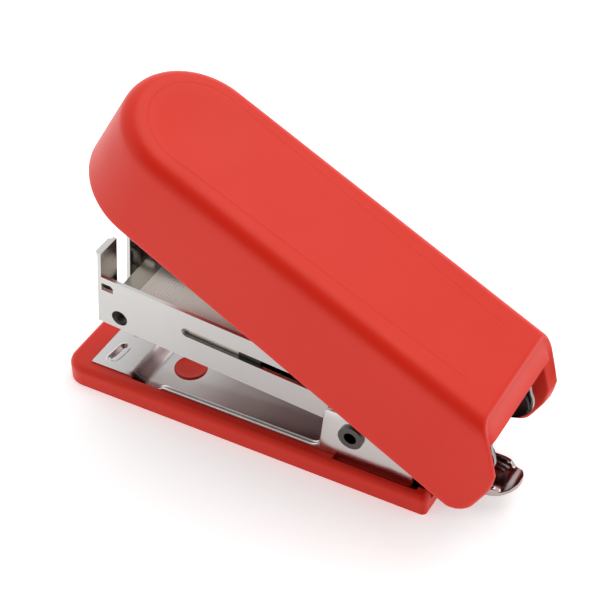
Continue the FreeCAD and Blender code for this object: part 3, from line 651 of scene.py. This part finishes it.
@dataclass
class BasePlate:
    """The pressed steel plate: anvil, stepped tray, rolled rims, hinge ears and remover tongue."""

    sheet: float = 0.8
    front: float = 38.8
    rear: float = -28.6
    anvil: float = 4.5
    tray: float = 3.0
    bend_low: float = 27.4
    bend_high: float = 30.6
    anvil_half: float = 8.0
    tray_half: float = 7.6
    ear_inner: float = 7.55
    ear_outer: float = 8.35
    hinge_x: float = -15.2
    hinge_z: float = 10.0
    hole: float = 1.95
    ear_front: float = -9.4
    ear_rear: float = -27.0
    ear_top: float = 14.4
    ear_foot: float = 2.25
    tongue_rear: float = -28.55
    tongue_tip: float = -43.4
    tongue_top: float = 4.3
    tip_rise: float = 1.0
    curb_height: float = 0.8
    recess_front: float = -34.65
    recess_rear: float = -39.65
    recess_half: float = 1.9
    recess_depth: float = 0.4
    rim_front: float = 24.2
    rim_middle: float = 7.82

    def floor_height(self, x: np.ndarray, y: np.ndarray) -> np.ndarray:
        """Return the face's height: tray, an S-shaped step up to the anvil, and two bean dishes.

        A bean is a line across the plate with round ends, slightly bowed; the dish's depth falls
        off smoothly with the distance from that line.

        Args:
            x: places along the plate.
            y: places across it.

        Returns:
            Heights of the same shape.
        """
        rise = smoothstep((x - self.bend_low) / (self.bend_high - self.bend_low))
        height = self.tray + (self.anvil - self.tray) * rise
        bean_x, near_y, far_y, radius, depth = 35.1, 2.3, 5.4, 1.35, 0.62
        side = np.abs(y)
        bow = 0.28 * ((side - (near_y + far_y) / 2) / (far_y - near_y)) ** 2
        off = np.hypot(x - bean_x - bow - 0.12 * (side - near_y), side - np.clip(side, near_y, far_y))
        dish = depth * (1 - smoothstep((off / radius - 0.25) / 0.75))
        lifted = 0.04 * np.exp(-((off - radius - 0.12) / 0.16) ** 2)
        return height - dish + lifted

    def floor(self) -> Tuple[np.ndarray, np.ndarray]:
        """Lay the plate: a grid over its plan, with the sheet's thickness below it.

        Returns:
            Vertices and faces.
        """
        x = np.concatenate([np.linspace(self.rear, 26.8, 60), np.linspace(27.0, 30.9, 22),
                            np.linspace(31.2, 34.0, 6), np.linspace(34.2, 38.2, 34),
                            [38.45, 38.62, 38.73, 38.79, self.front]])
        y_share = np.concatenate([[0.0, 0.04, 0.1], np.linspace(0.14, 0.86, 64), [0.9, 0.96, 1.0]]) * 2 - 1
        wide = smoothstep((x - self.bend_low) / (self.bend_high - self.bend_low))
        half = self.tray_half + (self.anvil_half - self.tray_half) * wide
        grid_x = np.broadcast_to(x[:, None], (len(x), len(y_share)))
        grid_y = half[:, None] * y_share[None, :]
        height = self.floor_height(grid_x, grid_y)
        edge = np.minimum(half[:, None] - np.abs(grid_y), self.front - grid_x)
        round_off = 0.22
        short = np.clip(round_off - edge, 0, round_off)
        top = height - (round_off - np.sqrt(round_off ** 2 - short ** 2))
        low = np.minimum(height - self.sheet, top - 0.1)
        points = [np.stack([grid_x, grid_y, z], -1) for z in (top, low)]
        return sheet_shell(*points)

    def rim(self, side: int) -> Tuple[np.ndarray, list]:
        """Carry a lip with two small ridges along the tray's side and up the ear's front edge.

        The path runs straight, turns through a quarter circle and climbs the ear.

        Args:
            side: 1 for the left, -1 for the right.

        Returns:
            Vertices and faces.
        """
        bend, level, climb = 2.4, 4.25, -9.35
        turn = np.linspace(0.0, math.radians(82), 14)
        straight = np.linspace(self.rim_front, climb + bend, 30)[:-1]
        x = np.concatenate([straight, climb + bend - bend * np.sin(turn), [climb - 0.35, climb - 0.8]])
        rise = level + bend * (1 - np.cos(turn))
        z = np.concatenate([np.full(len(straight), level), rise, [level + 4.8, level + 7.9]])
        z = z - 0.9 * (1 - smoothstep((self.rim_front - x) / 1.2))
        way = np.stack([np.gradient(x), np.gradient(z)], -1)
        way /= np.linalg.norm(way, axis=1)[:, None]
        zero = np.zeros_like(x)
        path = np.stack([x, zero + side * self.rim_middle, z], -1)
        across = np.stack([zero, zero + side, zero], -1)
        over = np.stack([way[:, 1], zero, -way[:, 0]], -1)
        right = np.array([(0.50, -0.9), (0.50, 0.24), (0.44, 0.38), (0.34, 0.43), (0.24, 0.36),
                          (0.15, 0.10), (0.07, -0.12)])
        section = np.concatenate([right, right[::-1] * (-1, 1)])
        return tube(path, across, over, section)

    def ear(self, side: int) -> Tuple[np.ndarray, np.ndarray]:
        """Make a hinge ear round its pin hole.

        The outline's distance from the pin is a soft minimum of the distances to the ear's four
        edges along each direction; the sheet's closed section is carried once round the pin.

        Args:
            side: 1 for the left, -1 for the right.

        Returns:
            Vertices and faces.
        """
        turn = np.linspace(0, 2 * math.pi, 97)[:-1]
        c, s = np.cos(turn), np.sin(turn)
        tiny = 1e-6
        lean = 0.12
        reach = [np.maximum(c + lean * s, tiny) / (self.ear_front - self.hinge_x),
                 np.maximum(-c, tiny) / (self.hinge_x - self.ear_rear),
                 np.maximum(s, tiny) / (self.ear_top - self.hinge_z),
                 np.maximum(-s, tiny) / (self.hinge_z - self.ear_foot)]
        power = 9.0
        outline = np.sum([r ** power for r in reach], 0) ** (-1 / power)
        soft = 0.22
        share = np.array([0, 0.5, 1, 1, 1, 1, 1, 1, 0.5, 0.0])
        depth = np.array([0, 0, 0, 0, 0, 1, 1, 1, 1, 1.0])
        edge_in = np.array([0, 0, soft, soft * 0.3, 0, 0, soft * 0.3, soft, 0, 0])
        lift = np.array([0, 0, 0, soft * 0.3, soft, -soft, -soft * 0.3, 0, 0, 0])
        radius = self.hole + (outline[:, None] - edge_in[None, :] - self.hole) * share[None, :]
        y = self.ear_outer - depth * (self.ear_outer - self.ear_inner) - lift
        points = np.stack([self.hinge_x + radius * c[:, None],
                           np.broadcast_to(side * y[None, :], radius.shape),
                           self.hinge_z + radius * s[:, None]], -1)
        count = points.shape[1]
        closed = np.concatenate([points, points[:1]])
        return closed, grid_quads(len(turn) + 1, count, ring=True)

    def tongue(self) -> Tuple[np.ndarray, np.ndarray]:
        """Make the remover tongue: a step up, a flat with a recess, curbs and a turned-up round tip.

        The half width holds, then narrows and closes in a round end; the height adds a step, a
        curb near each side and the tip's rise, each eased.

        Returns:
            Vertices and faces.
        """
        x = np.concatenate([np.linspace(self.tongue_rear, -30.4, 12), np.linspace(-31.2, -34.0, 4),
                            [-34.6, -34.7], np.linspace(-35.6, -38.8, 5), [-39.6, -39.7],
                            self.tongue_tip + 3.6 * (1 - np.sin(np.linspace(0.02, math.pi / 2, 18)))])
        half = np.interp(-x, [28.0, 38.6, 39.6, 41.5, 42.4, 43.0, 43.3, 43.4],
                         [4.4, 4.4, 4.15, 3.3, 2.75, 1.9, 1.15, 0.35])
        left = np.array([-1, -0.985, -0.95, -0.9, -0.84, -0.8, -0.76, -0.62, -0.46, -0.44, -0.43])
        share = np.concatenate([left, np.linspace(-0.41, 0.41, 9), -left[::-1]])
        grid_x = np.broadcast_to(x[:, None], (len(x), len(share)))
        grid_y = half[:, None] * share[None, :]
        step = smoothstep((self.tongue_rear - grid_x) / 1.1)
        tip = smoothstep((self.tongue_tip + 3.0 - grid_x) / 3.2)
        height = self.tray + (self.tongue_top - self.tray) * step + self.tip_rise * tip
        inwards = half[:, None] - np.abs(grid_y)
        curb = smoothstep((1.25 - inwards) / 0.45) * smoothstep((-29.4 - grid_x) / 0.8)
        lift = self.curb_height * curb * smoothstep((grid_x + 41.2) / 1.4)
        height = height + lift
        soft = 0.2
        edge = np.minimum(inwards, (grid_x - self.tongue_tip) * 1.5)
        short = np.clip(soft - edge, 0, soft)
        top = height - (soft - np.sqrt(soft ** 2 - short ** 2))
        low = np.minimum(height - lift - self.sheet, top - 0.1)
        inside = ((grid_x < self.recess_front) & (grid_x > self.recess_rear)
                  & (np.abs(grid_y) < self.recess_half))
        top = np.where(inside, top - self.recess_depth, top)
        return sheet_shell(np.stack([grid_x, grid_y, top], -1), np.stack([grid_x, grid_y, low], -1))

    def build(self) -> bpy.types.Object:
        """Make the plate's four pressed parts.

        Returns:
            The plate's floor, riding on the base in place of the plain one.
        """
        pieces = []
        for name, finish, shells in (
                ("base_plate_pressed", PLATE, [self.floor()]),
                ("tray_rims", BRIGHT, [self.rim(1), self.rim(-1)]),
                ("hinge_ears", BRIGHT, [self.ear(1), self.ear(-1)]),
                ("remover_tongue", TONGUE, [self.tongue()])):
            points, faces = join_shells([(p.reshape(-1, 3), f) for p, f in shells])
            piece = mesh_object(name, points * MM, faces, 48.0)
            finish.dress(piece)
            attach(piece, Body.BASE.value)
            pieces.append(piece)
        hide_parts("base_plate")
        return pieces[0]


@dataclass
class BaseBoss:
    """The round red boss that shows in the tray."""

    x: float = 22.4
    radius: float = 3.1
    low: float = 2.6
    rim: float = 3.3
    middle: float = 3.06

    def build(self) -> bpy.types.Object:
        """Turn a profile about an upright axis: a side, a soft rim and a shallow dish.

        Returns:
            The boss.
        """
        r = np.array([0.0, 1.0, 1.8, 2.3, 2.6, 2.78, 2.9, 2.99, 3.06,
                      self.radius, self.radius, 0.0])
        z = np.array([self.middle, self.middle, self.middle + 0.02, self.middle + 0.07, self.middle + 0.14,
                      self.rim - 0.02, self.rim, self.rim - 0.02, self.rim - 0.08, self.rim - 0.18,
                      self.low, self.low])
        turn = np.linspace(0, 2 * math.pi, 65)[:, None]
        height = np.broadcast_to(z, (len(turn), len(z)))
        points = np.stack([self.x + r * np.cos(turn), r * np.sin(turn), height], -1)
        piece = mesh_object("base_boss", points * MM, grid_quads(len(turn), len(r)), 60.0)
        RED.dress(piece)
        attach(piece, Body.BASE.value)
        return piece


@dataclass
class StapleStrip:
    """The strip of staples: square-cornered wires side by side, glued."""

    place: LocalFrame
    front: float = 46.0
    rear: float = 23.6
    count: int = 40
    wire: float = 0.55
    crown: float = 12.9
    top: float = 7.25
    low: float = 1.19
    corner: float = 0.55

    def build(self) -> bpy.types.Object:
        """Carry one wire's section round an inverted U, once for each staple.

        The path goes up one leg, round a quarter circle, along the crown and down again; staple
        number i is the same shape moved back by i pitches.

        Returns:
            The strip.
        """
        half = self.crown / 2 - self.wire / 2
        peak = self.top - self.wire / 2
        turn = np.linspace(0, math.pi / 2, 4)
        r = self.corner
        left_y = np.concatenate([[-half, -half], -half + r * (1 - np.cos(turn))[1:], [0.0]])
        left_v = np.concatenate([[self.low, peak - r], (peak - r + r * np.sin(turn))[1:], [peak]])
        out_y = np.concatenate([[-1, -1], -np.cos(turn)[1:], [0.0]])
        out_v = np.concatenate([[0, 0], np.sin(turn)[1:], [1.0]])
        y = np.concatenate([left_y, -left_y[::-1][1:]])
        v = np.concatenate([left_v, left_v[::-1][1:]])
        ny = np.concatenate([out_y, -out_y[::-1][1:]])
        nv = np.concatenate([out_v, out_v[::-1][1:]])
        zero = np.zeros_like(y)
        path = np.stack([zero, y, v], -1)
        along = np.stack([zero + 1.0, zero, zero], -1)
        over = np.stack([zero, ny, nv], -1)
        pitch = (self.front - self.rear) / self.count
        section = bevelled_section(pitch / 2, self.wire / 2, 0.04)
        points, faces = tube(path, along, over, section)
        shift = self.rear + pitch * (np.arange(self.count) + 0.5)
        points = np.repeat(points[None], self.count, 0)
        points[..., 0] += shift[:, None]
        every = [[n + i * points.shape[1] for n in f] for i in range(self.count) for f in faces]
        piece = mesh_object("staples", self.place.to_row(points.reshape(-1, 3)), every, 40.0)
        STAPLE.dress(piece)
        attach(piece, Body.STRIP.value)
        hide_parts("staple_strip")
        return piece


@dataclass
class PusherSpring:
    """The coil spring behind the pusher."""

    place: LocalFrame
    start: float = -10.9
    end: float = 20.8
    axis: float = 4.1
    mean: float = 1.72
    wire: float = 0.3
    turns: int = 21

    def build(self) -> bpy.types.Object:
        """Carry a round wire along a helix whose first and last turns lie close.

        Height along the axis grows with the turn, slowly in the first and last turn.

        Returns:
            The spring, which stretches between the magazine and the pusher.
        """
        t = np.linspace(0.0, 1.0, self.turns * 20 + 1)
        turn = t * self.turns * 2 * math.pi
        pace = 0.45 + 0.55 * smoothstep(np.minimum(t, 1 - t) * self.turns / 1.5)
        gone = np.concatenate([[0.0], np.cumsum((pace[1:] + pace[:-1]) / 2)])
        u = self.start + self.wire + gone / gone[-1] * (self.end - self.start - 2 * self.wire)
        ring = np.stack([np.zeros_like(t), np.cos(turn), np.sin(turn)], -1)
        path = ring * self.mean
        path[:, 0] = u
        path[:, 2] += self.axis
        along = np.broadcast_to(np.array([1.0, 0, 0]), path.shape)
        points, faces = tube(path, along, ring, round_section(self.wire))
        piece = mesh_object("pusher_coil", self.place.to_row(points), faces, 60.0)
        SPRING.dress(piece)
        ends = self.place.to_row(np.array([[self.start, 0, self.axis], [self.end, 0, self.axis]]))
        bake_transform(piece)
        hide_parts("pusher_spring")
        return piece


@dataclass
class LeafSpring:
    """A flat strip bent along a smooth curve between two bodies."""

    name: str
    stands_for: Tuple[str, ...]
    bodies: Tuple[Body, Body]
    knots: np.ndarray
    start: Tuple[float, float]
    end: Tuple[float, float]
    width: float
    thick: float = 0.35

    def build(self) -> bpy.types.Object:
        """Carry a flat section along a curve drawn through the knots and eased three times.

        Returns:
            The leaf, laid out once along its curve.
        """
        gap = np.concatenate([[0], np.cumsum(np.hypot(*np.diff(self.knots, axis=0).T))])
        t = np.linspace(0, gap[-1], 80)
        x, z = np.interp(t, gap, self.knots[:, 0]), np.interp(t, gap, self.knots[:, 1])
        for _ in range(3):
            x[1:-1] = (x[:-2] + 2 * x[1:-1] + x[2:]) / 4
            z[1:-1] = (z[:-2] + 2 * z[1:-1] + z[2:]) / 4
        slope = np.stack([np.gradient(x), np.gradient(z)], -1)
        slope /= np.linalg.norm(slope, axis=1)[:, None]
        zero = np.zeros_like(x)
        path = np.stack([x, zero, z], -1)
        across = np.stack([zero, zero + 1, zero], -1)
        over = np.stack([-slope[:, 1], zero, slope[:, 0]], -1)
        section = bevelled_section(self.width / 2, self.thick / 2, 0.1)
        points, faces = tube(path, across, over, section)
        piece = mesh_object(self.name, points * MM, faces, 40.0)
        SPRING.dress(piece)
        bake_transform(piece)
        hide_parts(*self.stands_for)
        return piece


def return_leaf() -> LeafSpring:
    """The leaf under the magazine, from its foot on the tray to the channel's underside."""
    knots = np.array([(-26.0, 3.18), (-23.0, 3.18), (-20.6, 3.25), (-17.2, 5.0), (-13.5, 7.4),
                      (-10.4, 9.35), (-8.5, 10.25), (-7.25, 10.2)])
    return LeafSpring("return_leaf", ("return_spring",), (Body.BASE, Body.MAGAZINE), knots,
                      (-20.6, 3.0), (-8.5, 10.2), 6.0)


def cover_leaf(magazine: LocalFrame, cover: LocalFrame) -> LeafSpring:
    """The leaf between magazine and cover: a foot on the rail, a bend behind and an arm above.

    Args:
        magazine: the magazine's frame, for the foot.
        cover: the cover's frame, for the arm.

    Returns:
        The leaf.
    """
    foot = np.array([(-6.5, 0, 6.78), (-12.6, 0, 6.78), (-14.2, 0, 7.4), (-14.7, 0, 8.6)])
    arm = np.array([(6.6, 0, 1.6), (7.6, 0, 4.2), (9.8, 0, 5.6), (13.0, 0, 5.88), (17.0, 0, 5.88)])
    knots = np.concatenate([magazine.to_row(foot), cover.to_row(arm)])[:, [0, 2]] / MM
    return LeafSpring("cover_leaf", ("cover_spring", "cover_spring_arm"), (Body.MAGAZINE, Body.COVER),
                      knots, tuple(knots[3]), tuple(knots[4]), 5.0)


@dataclass
class KeptNodes:
    """The pieces that show as they are in the frame, with their finishes."""

    finishes: Tuple = (
        ("base_cover", RED), ("hinge_pin", RIVET), ("spring_rivet", DARK),
        ("magazine", WALLS), ("staple_rail", RAIL), ("guide_rod", SPRING),
        ("rod_rear_holder", BRIGHT), ("rod_front_holder", BRIGHT), ("cover_pivot_pin", BRIGHT),
        ("pusher", BLACK), ("cover_frame", FRAME),
        ("driver_blade", BRIGHT), ("blade_rivets", DARK))

    def build(self) -> List[bpy.types.Object]:
        """Dress each node.

        Returns:
            The nodes.
        """
        for name, finish in self.finishes:
            finish.dress(frame["nodes"][name])
        return [frame["nodes"][name] for name, _ in self.finishes]


# ---------------------------------------------------------------- studio


@dataclass(frozen=True)
class Lamp:
    """A square soft light: its name, place and size in metres, and power in watts."""

    name: str
    place: Tuple[float, float, float]
    size: float
    power: float


@dataclass
class Studio:
    """Floor, light and camera."""

    azimuth: float = 209.84
    elevation: float = 40.73
    roll: float = -1.5
    distance: float = 0.320
    aim: Tuple[float, float, float] = (-0.001014, 0.0, 0.0288)
    lens: float = 112.96
    dark_way: Tuple[float, float, float] = (-0.28, 0.75, 0.60)
    floor_size: float = 3.0
    floor_glow: float = 0.40
    lamps: Tuple[Lamp, ...] = (Lamp("top_light", (-0.15, -0.35, 0.75), 0.7, 2.3),
                               Lamp("side_light", (0.5, 0.45, 0.25), 0.4, 0.12))

    def camera(self) -> None:
        """Place the camera round the aim point by azimuth, elevation and roll."""
        a, e, r = (math.radians(d) for d in (self.azimuth, self.elevation, self.roll))
        back = Vector((math.sin(a) * math.cos(e), -math.cos(a) * math.cos(e), math.sin(e)))
        right = (-back).cross(Vector((0, 0, 1))).normalized()
        up = right.cross(-back)
        level, tilted = math.cos(r) * right + math.sin(r) * up, -math.sin(r) * right + math.cos(r) * up
        matrix = Matrix((level, tilted, back)).transposed().to_4x4()
        matrix.translation = Vector(self.aim) + back * self.distance
        data = bpy.data.cameras.new("camera")
        data.lens, data.sensor_width, data.clip_start = self.lens, 36.0, 0.01
        made = bpy.data.objects.new("camera", data)
        made.matrix_world = matrix
        bpy.context.scene.collection.objects.link(made)
        bpy.context.scene.camera = made

    def sky(self) -> None:
        """Light from all round, dimmer towards one side as with a dark room behind the camera."""
        world = bpy.data.worlds.new("studio")
        bpy.context.scene.world = world
        world.use_nodes = True
        tree = world.node_tree
        place = node(tree, "ShaderNodeTexCoord")
        toward = node(tree, "ShaderNodeVectorMath", operation="DOT_PRODUCT")
        fill(toward, {1: Vector(self.dark_way).normalized()})
        fade = node(tree, "ShaderNodeMapRange", interpolation_type="SMOOTHSTEP", clamp=True)
        fill(fade, {"From Min": 0.55, "From Max": 0.93, "To Min": 1.0, "To Max": 0.12})
        tree.links.new(place.outputs["Generated"], toward.inputs[0])
        tree.links.new(toward.outputs["Value"], fade.inputs["Value"])
        tree.links.new(fade.outputs["Result"], tree.nodes["Background"].inputs["Strength"])
        fill(tree.nodes["Background"], {"Color": (1.0, 1.0, 1.0, 1.0)})

    def hang(self, lamp: Lamp) -> None:
        """Hang a lamp so that it faces the object.

        Args:
            lamp: the lamp.
        """
        data = bpy.data.lights.new(lamp.name, "AREA")
        data.size, data.energy = lamp.size, lamp.power
        made = bpy.data.objects.new(lamp.name, data)
        made.location = lamp.place
        made.rotation_euler = (Vector(self.aim) - Vector(lamp.place)).to_track_quat("-Z", "Y").to_euler()
        bpy.context.scene.collection.objects.link(made)

    def floor(self) -> None:
        """Lay a pale floor under the object."""
        mesh = bpy.data.meshes.new("floor")
        s = self.floor_size
        mesh.from_pydata([(-s, -s, 0), (s, -s, 0), (s, s, 0), (-s, s, 0)], [], [(0, 1, 2, 3)])
        made = bpy.data.objects.new("floor", mesh)
        bpy.context.scene.collection.objects.link(made)
        pale = bpy.data.materials.new("pale_floor")
        pale.use_nodes = True
        fill(pale.node_tree.nodes["Principled BSDF"], {
            "Base Color": (0.92, 0.92, 0.92, 1), "Emission Color": (1.0, 1.0, 1.0, 1),
            "Emission Strength": self.floor_glow, "Roughness": 0.9, "Specular IOR Level": 0.1})
        mesh.materials.append(pale)

    def build(self) -> None:
        """Set up the whole studio."""
        self.camera()
        self.sky()
        self.floor()
        for lamp in self.lamps:
            self.hang(lamp)
        bpy.context.scene.view_settings.view_transform = "Standard"


def joint_place(name: str, pitch: float) -> LocalFrame:
    """Return the frame whose origin is a hinge's place.

    Args:
        name: the joint.
        pitch: degrees that the frame is turned nose up.

    Returns:
        The frame.
    """
    joint = next(j for j in frame["joints"] if j["name"] == name)
    x, _, z = joint["pos_m"]
    return LocalFrame(x / MM, z / MM, pitch)


def main() -> None:
    """Build every sub-assembly in order and report it."""
    logging.basicConfig(level=logging.INFO, format="%(name)s: %(message)s")
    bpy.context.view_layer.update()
    slide = next(j for j in frame["joints"] if j["name"] == "pusher_slide")["axis"]
    magazine = joint_place("magazine_pivot", math.degrees(math.atan2(slide[2], slide[0])))
    cover = joint_place("cover_pivot", COVER_PITCH)
    for node_made in KeptNodes().build():
        LOG.info("dressed %s", node_made.name)
    for maker in (TopCover(cover), BasePlate(), BaseBoss(), StapleStrip(magazine),
                  PusherSpring(magazine), return_leaf(), cover_leaf(magazine, cover)):
        piece = maker.build()
        LOG.info("built %s with %d faces", piece.name, len(piece.data.polygons))
    Studio().build()


if __name__ == "__main__":
    main()
